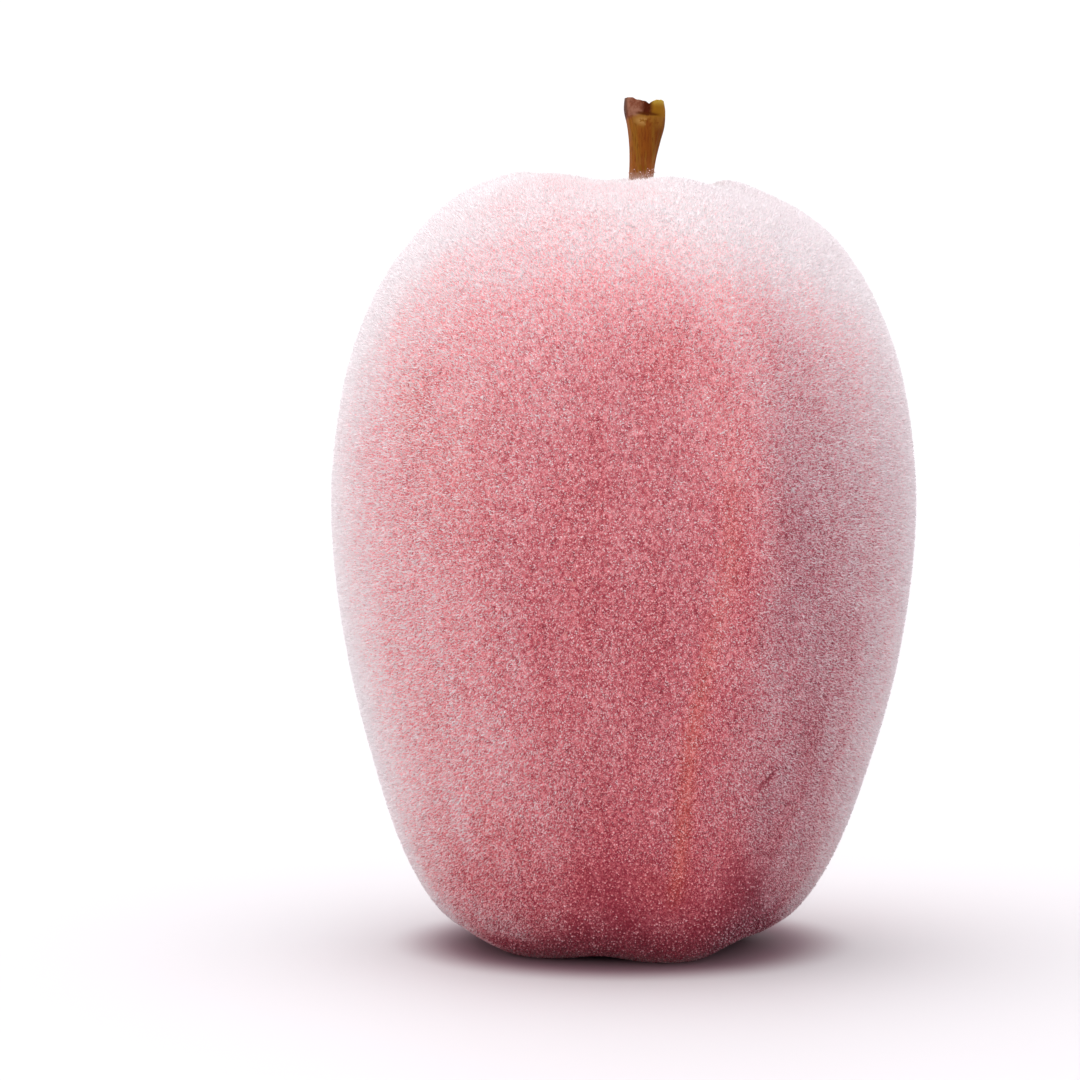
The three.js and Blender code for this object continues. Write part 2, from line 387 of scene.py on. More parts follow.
class APPLE_PG_frost(PropertyGroup):
    """Sizes and colours of the frost. The warm colours are lightened as a painted highlight along a
    ridge, and the mauve ones darkened as painted shade on the right side.
    """

    grains: IntProperty(
        name="Grains", description="How many low grains of ice cover the skin",
        default=132000, min=1000)
    blades: IntProperty(
        name="Blades", description="How many thin blades of rime stand among the grains",
        default=440000, min=1000)
    grain_width: FloatProperty(
        name="Grain width", description="Width of a middling grain",
        default=0.46 * MM, min=0.0, unit="LENGTH")
    grain_length: FloatProperty(
        name="Grain length", description="Length of the longest grains",
        default=0.23 * MM, min=0.0, unit="LENGTH")
    blade_width: FloatProperty(
        name="Blade width", description="Width of a middling blade at its root",
        default=0.22 * MM, min=0.0, unit="LENGTH")
    blade_length: FloatProperty(
        name="Blade length", description="Length of the longest blades, in the thickest frost",
        default=0.50 * MM, min=0.0, unit="LENGTH")
    red_bare: FloatVectorProperty(
        name="Bare skin, red", description="The red skin itself", subtype="COLOR",
        default=(0.35, 0.028, 0.055), min=0.0, max=1.0)
    red_clear: FloatVectorProperty(
        name="Clear ice, red", description="Clear ice over red skin", subtype="COLOR",
        default=(0.63, 0.14, 0.17), min=0.0, max=1.0)
    red_milky: FloatVectorProperty(
        name="Milky ice, red", description="Milky ice over red skin", subtype="COLOR",
        default=(0.93, 0.39, 0.415), min=0.0, max=1.0)
    red_pale: FloatVectorProperty(
        name="Pale ice, red", description="Pale ice over red skin", subtype="COLOR",
        default=(0.92, 0.64, 0.66), min=0.0, max=1.0)
    # The warm colours: an orange streak, lightened as a painted highlight along the ridge.
    warm_bare: FloatVectorProperty(
        name="Bare skin, warm", description="The skin itself in the orange streak", subtype="COLOR",
        default=(0.50, 0.07, 0.04), min=0.0, max=1.0)
    warm_clear: FloatVectorProperty(
        name="Clear ice, warm", description="Clear ice over the orange streak", subtype="COLOR",
        default=(0.76, 0.19, 0.15), min=0.0, max=1.0)
    warm_milky: FloatVectorProperty(
        name="Milky ice, warm", description="Milky ice over the orange streak", subtype="COLOR",
        default=(0.93, 0.41, 0.37), min=0.0, max=1.0)
    warm_pale: FloatVectorProperty(
        name="Pale ice, warm", description="Pale ice over the orange streak", subtype="COLOR",
        default=(0.93, 0.65, 0.63), min=0.0, max=1.0)
    # The mauve colours: darker and greyer than the red ones as painted shade on the right side and
    # at the foot.
    mauve_bare: FloatVectorProperty(
        name="Bare skin, mauve", description="The skin itself on the shaded side", subtype="COLOR",
        default=(0.20, 0.022, 0.045), min=0.0, max=1.0)
    mauve_clear: FloatVectorProperty(
        name="Clear ice, mauve", description="Clear ice over the shaded side", subtype="COLOR",
        default=(0.44, 0.125, 0.165), min=0.0, max=1.0)
    mauve_milky: FloatVectorProperty(
        name="Milky ice, mauve", description="Milky ice over the shaded side", subtype="COLOR",
        default=(0.66, 0.385, 0.43), min=0.0, max=1.0)
    mauve_pale: FloatVectorProperty(
        name="Pale ice, mauve", description="Pale ice over the shaded side", subtype="COLOR",
        default=(0.77, 0.60, 0.635), min=0.0, max=1.0)
    red_rime: FloatVectorProperty(
        name="Rime, red", description="Opaque ice over red and orange skin", subtype="COLOR",
        default=(0.91, 0.88, 0.89), min=0.0, max=1.0)
    mauve_rime: FloatVectorProperty(
        name="Rime, mauve", description="Opaque ice over the shaded side", subtype="COLOR",
        default=(0.84, 0.79, 0.81), min=0.0, max=1.0)


class APPLE_PG_stalk(PropertyGroup):
    """Sizes and colours of the stalk and of the dried flower."""

    groove: FloatProperty(
        name="Groove depth", description="Depth of the furrows along the stalk",
        default=0.12 * MM, min=0.0, unit="LENGTH")
    brown: FloatVectorProperty(
        name="Bark", description="The stalk's main colour", subtype="COLOR",
        default=(0.215, 0.058, 0.006), min=0.0, max=1.0)
    olive: FloatVectorProperty(
        name="Olive", description="The greenish streaks of the bark", subtype="COLOR",
        default=(0.26, 0.12, 0.012), min=0.0, max=1.0)
    scar: FloatVectorProperty(
        name="Scar", description="The broken end", subtype="COLOR",
        default=(0.19, 0.055, 0.028), min=0.0, max=1.0)
    dried: FloatVectorProperty(
        name="Dried flower", description="The sepals in the eye", subtype="COLOR",
        default=(0.14, 0.085, 0.045), min=0.0, max=1.0)


class APPLE_PG_stage(PropertyGroup):
    """The camera, the floor and the light."""

    lens: FloatProperty(
        name="Lens", description="Focal length on a 36 mm frame, in millimetres",
        default=150.0, min=1.0, subtype="DISTANCE_CAMERA")
    distance: FloatProperty(
        name="Distance", description="From the camera to the apple's axis",
        default=0.538, min=0.0, unit="LENGTH")
    height: FloatProperty(
        name="Height", description="Of the camera above the floor",
        default=0.090, unit="LENGTH")
    pitch: FloatProperty(
        name="Pitch", description="How far the camera looks down",
        default=math.radians(4.4), subtype="ANGLE")
    turn: FloatProperty(
        name="Turn", description="How far the camera looks past the apple, to its left",
        default=math.radians(1.063), subtype="ANGLE")
    floor: FloatVectorProperty(
        name="Floor", description="Colour of the floor", subtype="COLOR",
        default=(0.630, 0.609, 0.625), min=0.0, max=1.0)
    # A painted shadow on the floor round the apple's foot, reddened as by the apple's bounce light.
    painted_contact_shadow: FloatVectorProperty(
        name="Floor at the foot", description="Colour of the floor where the apple reddens it",
        subtype="COLOR", default=(0.28, 0.15, 0.19), min=0.0, max=1.0)
    ambient: FloatProperty(
        name="Ambient", description="Light from everywhere", default=0.43, min=0.0)
    back: FloatProperty(
        name="Back", description="Light added from behind the apple", default=0.64, min=0.0)
    top: FloatProperty(
        name="Top", description="Light added from above the viewer", default=0.50, min=0.0)
    zenith: FloatProperty(
        name="Zenith", description="Light added from straight above", default=1.9, min=0.0)
    left: FloatProperty(
        name="Left", description="Light added from the upper left", default=0.87, min=0.0)
    right: FloatProperty(
        name="Right", description="Light added from the right", default=0.50, min=0.0)


def frost_colour(m, props, cover, tone):
    """From bare skin to rime as cover goes from 0 to 1; warm at tone 0, lightened as a painted
    highlight, red at 0.5, and mauve at 1, darkened as painted shade.
    """
    warm, red, mauve = (
        m.node("ShaderNodeValToRGB", {"stops": [
            (0.0, getattr(props, name + "_bare")),
            (0.3, getattr(props, name + "_clear")),
            (0.6, getattr(props, name + "_milky")),
            (0.8, getattr(props, name + "_pale")),
            (1.0, getattr(props, end + "_rime"))]}, [cover])
        for name, end in (("warm", "red"), ("red", "red"), ("mauve", "mauve")))
    return m.blend(tone * 2 - 1, m.blend(1 - tone * 2, red, warm), mauve)


# The middle of the scar on the front of the apple, sideways and up, and half its width, in
# millimetres.
SCAR_X = 16.6
SCAR_Z = 23.0
SCAR_WIDTH = 0.38


def scar_place(x, z):
    """Millimetres along the scar, which rises to the right, and across it, where it bends."""
    x = x - SCAR_X
    z = z - SCAR_Z
    along = x * 0.67 + z * 0.74
    return along, x * 0.74 - z * 0.67 + along * along * 0.07


def skin_material(props, frost):
    """Red skin with streaks, a scar and pale pores, seen through a film of frost."""
    m = new_material("apple_skin")
    x, y, z, where = m.place()
    radius = (x * x + y * y) ** 0.5
    lengthwise = m.vector(x / radius * 9, y / radius * 9, z * 0.035)
    streaks = m.noise(lengthwise, 0.55, 4.0, 0.6)
    fine = m.noise(lengthwise, 2.2, 3.0, 0.6)

    # Cover and tone are worked out for each point of the mesh, with the painted light and shade
    # that they carry, and noise adds the grain.
    cover = m.node("ShaderNodeAttribute", {"attribute_name": "cover"}, output=2)
    tone = m.node("ShaderNodeAttribute", {"attribute_name": "tone"}, output=2)
    grain = m.noise(m.vector(x, y, z * 0.8), 2.3, 2.0, 0.6)
    cover = cover * 0.9 + (grain - 0.5) * (1.9 - cover * 1.3) - 0.02
    colour = frost_colour(m, frost, cover, tone)
    streak = (streaks * 0.7 + fine * 0.3).between(0.42, 0.68) * 0.35 * cover.between(0.6, 0.2)
    colour = m.blend(streak, colour, props.deep)

    hollow = radius.between(15, 5) * z.between(74, 80)
    eye = radius.between(13, 6) * z.between(14, 9)
    colour = m.blend((hollow + eye) * (fine * 0.5 + 0.5) * 0.8, colour, props.straw)

    pores = m.node("ShaderNodeTexVoronoi", {"feature": "F1"}, {"Vector": where, "Scale": 0.23})
    colour = m.blend(pores.between(0.075, 0.045) * 0.25, colour, props.pores)

    along, across = scar_place(x, z)
    scar = across.near(0.0, SCAR_WIDTH) * along.near(0.0, 2.0) * y.between(0, -5)
    colour = m.blend(scar * 0.85, colour, props.scar)

    normal = m.bump(grain - scar * 0.5, 0.5, 0.20 * MM)
    return m.surface(
        Base_Color=colour, Roughness=cover * 0.2 + 0.5, Normal=normal, IOR=1.38,
        Sheen_Weight=0.4, Sheen_Roughness=0.4)


class APPLE_OT_skin(Operator):
    """Make the skin, which stands for the solid flesh"""

    bl_idname = "apple.skin"
    bl_label = "Skin"

    def execute(self, context):
        props = context.scene.apple_skin
        along, around = props.along, props.around
        t = np.linspace(0.0, 1.0, along + 1)
        azimuth = np.linspace(-np.pi, np.pi, around, endpoint=False)
        points, out = skin(*np.meshgrid(t, azimuth, indexing="ij"), props.clearance / MM)
        points, out = points.reshape(-1, 3), out.reshape(-1, 3)
        faces = tube_faces(along + 1, around)

        # The map runs once round the fruit, and the last column of faces ends at its right edge.
        map_x = (faces % around) / around
        map_x[:, 2:] = np.where(map_x[:, 2:] == 0.0, 1.0, map_x[:, 2:])
        map_y = 1 - (faces // around) / along
        piece = mesh_piece(
            "apple_skin", points, faces, skin_material(props, context.scene.apple_frost),
            nodes=["flesh"], uv=np.stack([map_x, map_y], -1))
        for name, values in zip(("cover", "tone"), frost_fields(points, out)):
            piece.data.attributes.new(name, "FLOAT", "POINT").data.foreach_set("value", values)
        return {"FINISHED"}


def patch(azimuth, z, middle, reach, height, rise):
    """A soft patch round a middle azimuth and a height, in degrees and millimetres."""
    return bump_at(azimuth, middle, reach) * bump_at(z, height, rise)


# Patches with more frost than round about, or with less: what is added to the cover, then the
# middle azimuth, its reach, the height and its reach.
COVER_PATCHES = [
    (0.07, 30, 14, 38, 22),
    (-0.08, -3, 16, 11, 11),
    (-0.08, 33, 14, 11, 12),
    (-0.07, 47, 14, 30, 16),
    (-0.10, -45, 8, 66, 7),
]


def height_cover(z):
    """The frost's cover by height alone: thin above the foot, which also darkens the foot as
    painted shade, and thick on the shoulder.
    """
    return (
        0.28
        + 0.05 * smoothstep(z, 20, 45)
        + 0.06 * bump_at(z, 64, 22)
        + 0.11 * smoothstep(z, 58, 74)
        + 0.48 * smoothstep(z, 70, 88)
        # Thinner frost above the foot, and darker red near the floor as painted shade.
        - 0.14 * (1 - smoothstep(z, 2, 28))
        - 0.15 * (1 - smoothstep(z, 0, 18)))


def side_cover_and_painted_light(azimuth, z):
    """What the sides add to the cover: the flanks are whiter than the front, most so the left,
    partly thicker frost and partly painted rim light and painted light on the lit left side.
    """
    facing = 1 - smoothstep(np.abs(azimuth), 85, 180)
    left, right = -azimuth * facing, azimuth * facing
    # Painted light: the left half, towards the light, is whiter.
    lit_leftward = smoothstep(left, 1, 45) * mix(0.4, 1.0, smoothstep(z, 3, 22))
    lit_leftward *= 1 - smoothstep(z, 72, 84)
    return (
        # Partly painted rim light, where the flanks turn away from view.
        0.28 * smoothstep(np.abs(azimuth), 44, 90)
        + (0.19 - 0.03 * smoothstep(z, 28, 44)) * lit_leftward
        + 0.08 * smoothstep(left, 8, 34) * (1 - smoothstep(z, 42, 60))
        + 0.15 * smoothstep(left, 44, 86)
        + 0.12 * bump_at(azimuth, -35, 38) * (1 - smoothstep(z, 3, 10))
        + 0.08 * smoothstep(right, 26, 54)
        + 0.08 * smoothstep(right, 5, 25) * smoothstep(z, 50, 62)
        - 0.05 * bump_at(azimuth, 50, 22) * (1 - smoothstep(z, 12, 34)))


def skin_tone(azimuth, z, streaks):
    """The skin's tone: warm along a ridge right of the middle, lightened there as a painted
    highlight; mauve beyond it and at the foot, darkened as painted shade; else red.
    """
    ridge = azimuth - 17.2 - 6.3 * smoothstep(z, 25, 52)
    # The warm line along the ridge is a painted highlight on an orange streak.
    warm = bump_at(ridge, -3, 3.5) * smoothstep(z, 5, 12) * (1 - smoothstep(z, 46, 66))
    # The mauve side right of the ridge is darkened as painted shade.
    shaded = smoothstep(ridge / (22 - 10 * smoothstep(z, 20, 45)), 0, 1)
    shaded *= 1 - smoothstep(azimuth, 85, 120)
    shaded *= 1 - 0.6 * bump_at(azimuth, 22, 26) * (1 - smoothstep(z, 8, 26))
    shaded *= 1 - 0.35 * patch(azimuth, z, 33, 9, 31, 14)
    return (
        0.5
        + 0.40 * shaded * (1 - 0.6 * smoothstep(z, 55, 80))
        # Painted shade: the tone turns mauve at the foot.
        + 0.25 * (1 - smoothstep(z, 0, 10))
        + 0.03 * streaks
        - (0.30 - 0.12 * smoothstep(z, 25, 45)) * warm
        - 0.12 * patch(azimuth, z, -48, 9, 66, 8)
        - 0.06 * patch(azimuth, z, -36, 22, 60, 20) * (1 + streaks))


def frost_fields(points, out):
    """How far the frost hides the skin, and the skin's tone, for each point, from 0 to 1.

    The cover goes from bare skin to white rime, and the tone from warm over red to mauve; both also
    carry painted light and shade.
    """
    x, y, z = points.T
    azimuth = np.degrees(np.arctan2(x, -y))
    streaks = random_field(points * [1, 1, 0.12], 5, SEED + 2)
    cover = height_cover(z) + side_cover_and_painted_light(azimuth, z)
    cover += sum(share * patch(azimuth, z, *place) for share, *place in COVER_PATCHES)
    cover += 0.02 * (random_field(points, 22, SEED) + random_field(points, 6, SEED + 1))
    cover += (0.035 - 0.015 * smoothstep(z, 35, 55)) * streaks

    # Less frost settles where the skin faces down, in the stalk hollow and on the scar.
    cover -= 0.22 * smoothstep(-out[:, 2], 0.5, 0.95)
    cover -= 0.25 * (1 - smoothstep(np.hypot(x, y), 5, 11)) * smoothstep(z, 70, 80)
    along, across = scar_place(x, z)
    cover -= 0.6 * bump_at(across, 0, SCAR_WIDTH) * bump_at(along, 0, 2.1) * (y < 0)
    return np.clip(cover, 0.0, 1.0), np.clip(skin_tone(azimuth, z, streaks), 0.0, 1.0)


# How deep the crystals' roots stand in the skin, in millimetres.
ROOT_DEPTH = 0.04

# Half the width of a crystal's place on the map, where only its length has a meaning.
MAP_WIDTH = 0.0015


def plane_of(random, out):
    """Two directions square to out, for each row of it, turned at random."""
    side = np.cross(out, random.normal(size=out.shape))
    side /= np.linalg.norm(side, axis=1, keepdims=True)
    return side, np.cross(out, side)


def grain_corners(random, points, out, width, length):
    """Low grains of ice: three corners on the skin and a tip that leans, for each point."""
    side, other = plane_of(random, out)
    corners = []
    for k in range(3):
        turn = 2 * math.pi * k / 3 + random.uniform(-0.35, 0.35, len(points))
        reach = width / 2 * random.uniform(0.7, 1.3, len(points))
        across = side * (np.cos(turn) * reach)[:, None] + other * (np.sin(turn) * reach)[:, None]
        corners.append(points + across - out * ROOT_DEPTH)
    lean = random.normal(0, 0.3, (2, len(points), 1)) * length[:, None]
    corners.append(points + out * length[:, None] + side * lean[0] + other * lean[1])
    return np.stack(corners, 1)


def blade_corners(random, points, out, width, length):
    """Thin blades of rime: two corners on the skin and a tip that leans, for each point."""
    side, other = plane_of(random, out)
    across = side * (width / 2)[:, None]
    root = points - out * ROOT_DEPTH
    lean = random.normal(0, 0.25, (2, len(points), 1)) * length[:, None]
    tip = points + out * length[:, None] + side * lean[0] + other * lean[1]
    return np.stack([root - across, root + across, tip], 1)


def frost_material(props):
    """Ice whose colour is read from the map: cover across it and tone up it."""
    m = new_material("apple_frost")
    place = m.node("ShaderNodeUVMap", {"uv_map": "OFBake"})
    cover, tone = (m.node("ShaderNodeSeparateXYZ", None, [place], axis) for axis in (0, 1))
    return m.surface(Base_Color=frost_colour(m, props, cover, tone), Roughness=0.5, IOR=1.31)


def frost_piece(name, corners, root, tip, tone, material):
    """A piece of frost from grains of four corners each, or from blades of three.

    root and tip are the cover at each one's foot and end, and tone is that of the skin there.
    """
    corners = corners.copy()
    corners[..., 2] = np.maximum(corners[..., 2], 0.0)
    count, sides = corners.shape[:2]
    order = np.array([[0, 1, 2]] if sides == 3 else [[0, 1, 3], [1, 2, 3], [2, 0, 3]])
    faces = (np.arange(count)[:, None, None] * sides + order).reshape(-1, 3)
    apart = np.array([-1, 1, 0, 0][:sides]) * MAP_WIDTH
    shade = np.empty((count, sides, 2))
    shade[:, :-1, 0] = root[:, None]
    shade[:, -1, 0] = tip
    shade[:, :, 1] = tone[:, None] + apart
    shade = shade.clip(MAP_WIDTH, 1 - MAP_WIDTH).reshape(-1, 2)
    return mesh_piece(
        name, corners.reshape(-1, 3), faces, material, smooth=False, uv=shade[faces])


def frost_pieces(kind, parts, corners, root, tip, tone, material):
    """The crystals of one kind in several pieces, since one alone would be too heavy to export."""
    for name, part in zip(parts, np.array_split(np.arange(len(corners)), len(parts))):
        frost_piece(
            f"frost_{kind}_{name}", corners[part], root[part], tip[part], tone[part], material)


class APPLE_OT_frost(Operator):
    """Cover the skin with low grains of ice and with blades of rime"""

    bl_idname = "apple.frost"
    bl_label = "Frost"

    def execute(self, context):
        props = context.scene.apple_frost
        clearance = context.scene.apple_skin.clearance / MM
        material = frost_material(props)
        self.add_grains(props, clearance, material, np.random.default_rng(SEED))
        self.add_blades(props, clearance, material, np.random.default_rng(SEED + 3))
        return {"FINISHED"}

    @staticmethod
    def sizes(random, points, width, length):
        """Widths and lengths in millimetres; what stands on the feet is cut short."""
        widths = width / MM * random.uniform(0.6, 1.4, len(points))
        lengths = length / MM * random.uniform(0.5, 1.0, len(points))
        return widths, lengths * mix(0.3, 1.0, smoothstep(points[:, 2], 0.0, 2.5))

    def add_grains(self, props, clearance, material, random):
        """Grains are redder at the foot and whiter at the tip, most so where the frost is thin; the
        darker foot is partly painted shade in the gaps between them.
        """
        points, out = self.spread(random, props.grains, clearance)
        cover, tone = frost_fields(points, out)
        widths, lengths = self.sizes(random, points, props.grain_width, props.grain_length)
        corners = grain_corners(random, points, out, widths, lengths)
        # The darker roots stand partly for shade between the grains: painted shade.
        tip_and_gap_shade = mix(1.5, 0.5, smoothstep(cover, 0.3, 0.75))
        root = cover - tip_and_gap_shade * (0.18 + random.normal(0, 0.08, len(points)))
        tip = cover + tip_and_gap_shade * (0.36 + random.normal(0, 0.20, len(points)))
        frost_pieces("grains", ("upper", "lower"), corners, root, tip, tone, material)

    def add_blades(self, props, clearance, material, random):
        """Blades are whiter than the grains, and short where the frost is thin."""
        points, out = self.spread(random, props.blades, clearance)
        cover, tone = frost_fields(points, out)
        widths, lengths = self.sizes(random, points, props.blade_width, props.blade_length)
        lengths *= mix(0.40, 1.0, smoothstep(cover, 0.0, 0.60))
        corners = blade_corners(random, points, out, widths, lengths)
        frosted = smoothstep(cover, 0.0, 0.15)
        root = cover + 0.40 * frosted + random.normal(0, 0.11, len(points))
        tip = cover + 0.72 * frosted + random.normal(0, 0.11, len(points))
        frost_pieces("blades", ("upper", "middle", "lower"), corners, root, tip, tone, material)

    @staticmethod
    def spread(random, count, clearance):
        """Even places all over the skin: a spiral by surface area, a little disturbed."""
        t = np.linspace(0.0, 1.0, 2001)
        turns = np.linspace(-np.pi, np.pi, 73)[:-1]
        rings = outer_skin(*np.meshgrid(t, turns, indexing="ij"))
        step = np.linalg.norm(np.diff(rings, axis=0), axis=2).mean(1)
        girth = np.linalg.norm(rings - np.roll(rings, 1, axis=1), axis=2).sum(1)
        area = np.concatenate([[0.0], np.cumsum(step * (girth[1:] + girth[:-1]) / 2)])
        spacing = math.sqrt(area[-1] / count)
        golden_angle = math.pi * (3 - math.sqrt(5))
        order = np.arange(count)
        place = np.interp((order + 0.5) / count * area[-1], area, t)
        azimuth = np.mod(order * golden_angle, 2 * math.pi) - math.pi
        along_step = np.interp(place, t[1:], step) * (len(t) - 1)
        around_step = np.maximum(np.interp(place, t, girth), 1.0) / (2 * math.pi)
        place += random.normal(0, 0.3, count) * spacing / along_step
        azimuth += random.normal(0, 0.3, count) * spacing / around_step
        return skin(np.clip(place, 0.003, 0.997), azimuth, clearance)


def stalk_section(t):
    """The stalk's height, middle and half widths at t, from its foot, 0, to its end, 1."""
    height, x, forward, width, depth = np.moveaxis(curve_through(STALK, t), -1, 0)
    return height, x - MIDDLE[0], -forward - MIDDLE[1], width / 2, depth / 2


# The highest that the broken end goes, in millimetres: just under the solid stalk's top.
STALK_TOP = 101.43

# The edge of the stalk's broken end, from its left, -1, to its right, 1: height in millimetres
# above the last section.
BROKEN_EDGE = np.array([
    [-1.0, 0.22], [-0.85, 0.33], [-0.6, 0.20], [-0.2, -0.02], [0.1, -0.22], [0.28, -0.40],
    [0.42, -0.22], [0.6, -0.02], [0.85, 0.02], [1.0, -0.15]])


def stalk_point(t, azimuth, groove, inward=0.0):
    """Points of the stalk's bark, and of its broken end as inward goes from 0 to 1."""
    height, x, y, half_width, half_depth = stalk_section(t)
    twist = azimuth + 0.05 * (height - 80)
    cut = groove * (
        0.5
        + 0.24 * np.sin(6 * twist + 0.30 * height)
        + 0.16 * np.sin(11 * twist - 0.4 * height + 1.0)
        + 0.10 * np.sin(19 * twist + 0.7 * height))

    # A short fold across the front of the head, and a cleft that parts it above the fold.
    front = smoothstep(azimuth, -0.75, -0.35) * (1 - smoothstep(azimuth, 0.45, 0.8))
    cut += 0.20 * front * np.exp(-(((height - 99.45 + 0.15 * azimuth) / 0.16) ** 2))
    cleft = np.exp(-(((azimuth - 0.22 - 0.10 * (height - 100)) / 0.17) ** 2))
    cut += 0.28 * cleft * smoothstep(height, 99.3, 100.2)

    across = np.sin(azimuth)
    scale = (1 - cut / half_width) * (1 - inward)
    x = x + across * half_width * scale
    y = y - np.cos(azimuth) * half_depth * scale

    # The broken end has an uneven edge and is hollowed out.
    edge = np.interp(across * (1 - 0.6 * inward), *BROKEN_EDGE.T)
    edge += (0.05 * np.sin(9 * azimuth + 2) + 0.03 * np.sin(17 * azimuth)) * np.cos(azimuth)
    dip = 0.55 * smoothstep(inward, 0.05, 0.7)
    dip = dip + 0.06 * np.sin(14 * inward + 3 * azimuth) * (inward > 0)
    z = height + smoothstep(height, 99.4, 101.0) * edge - dip
    return np.stack([x, y, np.minimum(z, STALK_TOP)], -1)


# Colours of the bark's smaller marks and of the head's parts, painted light and shade among them.
PAINTED_LIGHT_BARK = (0.30, 0.10, 0.014)
PAINTED_SHADE_BARK = (0.10, 0.022, 0.003)
FURROW = (0.13, 0.022, 0.004)
ROSY_BARK = (0.36, 0.12, 0.04)
GOLDEN_BARK = (0.28, 0.12, 0.016)
PAINTED_TAN_HIGHLIGHT = (0.46, 0.25, 0.07)
PALE_SCAR = (0.32, 0.145, 0.09)
DARK_EDGE = (0.07, 0.022, 0.012)
OLIVE_HEAD = (0.25, 0.105, 0.006)
OLIVE_TOP = (0.42, 0.27, 0.04)
CLEFT_SHADE = (0.07, 0.010, 0.002)
FOLD_SHADE = (0.10, 0.022, 0.002)
STALK_FROST = (0.82, 0.70, 0.66)


def stalk_material(props):
    """Bark with lengthwise streaks, lit on the left and shaded on the right by painted light and
    shade, and a head with a scarred, a cleft and an olive part.
    """
    m = new_material("apple_stalk")
    x, y, z, where = m.place()
    azimuth = x.math("ARCTAN2", x - (2.2 - MIDDLE[0]), (y + (0.2 + MIDDLE[1])) * -1)
    streaks = m.noise(m.vector(azimuth * 1.5, 0.0, z * 0.08), 1.5, 3.0, 0.6)
    fine = m.noise(m.vector(azimuth * 2.5, 0.0, z * 0.22), 3.5, 3.0, 0.65)
    patches = m.noise(where, 0.9, 3.0, 0.6)

    # From here on x counts from the left edge of the head, which is 5 mm wide.
    x = x + MIDDLE[0]
    # Painted light: the bark is lighter towards its lit left side.
    colour = m.blend(x.between(3.4, 0.4) * 0.8, props.brown, PAINTED_LIGHT_BARK)
    colour = m.blend(streaks.between(0.46, 0.62) * 0.75, colour, props.olive)
    colour = m.blend(fine.between(0.48, 0.66) * 0.6, colour, FURROW)
    # Painted shade: the bark darkens on its right side, away from the light.
    colour = m.blend(x.between(2.6, 5.0) * z.between(91, 97) * 0.75, colour, PAINTED_SHADE_BARK)
    colour = m.blend(z.between(95.5, 91) * patches.between(0.3, 0.55) * 0.6, colour, ROSY_BARK)
    gold = z.between(97.3, 98.6) * x.between(0.6, 1.6) * patches.between(0.30, 0.50)
    colour = m.blend(gold * 0.7, colour, GOLDEN_BARK)

    # The head's parts lie above the fold, and a painted tan highlight below it.
    fold = z + x * 0.1 - 99.6
    # A painted highlight, tan, on the bulge below the fold.
    tan_highlight = fold.near(-0.75, 0.75) * x.near(2.1, 1.3) * patches.between(0.40, 0.50)
    colour = m.blend(tan_highlight, colour, PAINTED_TAN_HIGHLIGHT)
    head = fold.between(-0.25, 0.15)
    scarred = (fold + (x - 1.2) * -0.5).between(-0.6, 0.1) * x.between(2.9, 2.2)
    colour = m.blend(scarred, colour, m.blend(patches.between(0.35, 0.6), props.scar, PALE_SCAR))
    colour = m.blend(scarred * x.between(0.6, 0.1) * 0.9, colour, DARK_EDGE)
    olive = head * x.between(2.9, 3.5)
    colour = m.blend(olive, colour, m.blend(z.between(100.2, 101.2), OLIVE_HEAD, OLIVE_TOP))
    # Painted shade darkens the cleft in the head.
    cleft = head * x.near(2.7, 1.0) * y.between(1.5, -0.5) * fine.between(0.2, 0.5)
    colour = m.blend(cleft * 1.3, colour, CLEFT_SHADE)
    # Painted shade: a dark line along the crease of the fold.
    fold_shade_line = fold.near(0.15, 0.28) * x.between(1.1, 1.9) * x.between(4.6, 3.6) * y.between(0.5, -0.5)
    colour = m.blend(fold_shade_line * 0.8, colour, FOLD_SHADE)

    frosted = (z + fine * 3 - 1.5).between(92.9, 90.8) * 0.75
    colour = m.blend(frosted, colour, STALK_FROST)
    return m.surface(
        Base_Color=colour, Roughness=fine * 0.25 + 0.40, Specular_IOR_Level=0.04,
        Normal=m.bump(streaks + fine * 0.7, 0.5, 0.15 * MM))


class APPLE_OT_stalk(Operator):
    """Make the bark-covered stalk with its broken end"""

    bl_idname = "apple.stalk"
    bl_label = "Stalk"

    def execute(self, context):
        props = context.scene.apple_stalk
        groove = props.groove / MM
        around, along, rim = 120, 150, 22
        turns = np.linspace(-np.pi, np.pi, around, endpoint=False)
        t = np.concatenate([np.linspace(0, 1, along), np.ones(rim)])
        inward = np.concatenate([np.zeros(along), np.linspace(0.04, 1, rim)])
        points = stalk_point(*np.meshgrid(t, turns, indexing="ij"), groove, inward[:, None])
        faces = tube_faces(len(t), around)[:, ::-1]
        mesh_piece(
            "apple_stalk", points.reshape(-1, 3), faces, stalk_material(props),
            nodes=["stalk"])
        self.add_frost(t[:along], groove)
        return {"FINISHED"}

    @staticmethod
    def add_frost(t, groove, count=2400, foot=78, climb=15.5):
        """A little frost climbs up the stalk from the hollow, ever thinner."""
        random = np.random.default_rng(SEED + 5)
        height = foot + climb * (1 - random.uniform(0, 1, count) ** 0.55)
        t = np.interp(height, stalk_section(t)[0], t)
        turns = random.uniform(-np.pi, np.pi, count)
        points = stalk_point(t, turns, groove)
        out = np.stack([np.sin(turns), -np.cos(turns), np.zeros(count)], -1)
        length = random.uniform(0.08, 0.25, count)
        width = random.uniform(0.10, 0.24, count)
        corners = grain_corners(random, points, out, width, length)
        frost_piece(
            "frost_stalk", corners, np.full(count, 0.85), np.ones(count), np.full(count, 0.5),
            bpy.data.materials["apple_frost"])


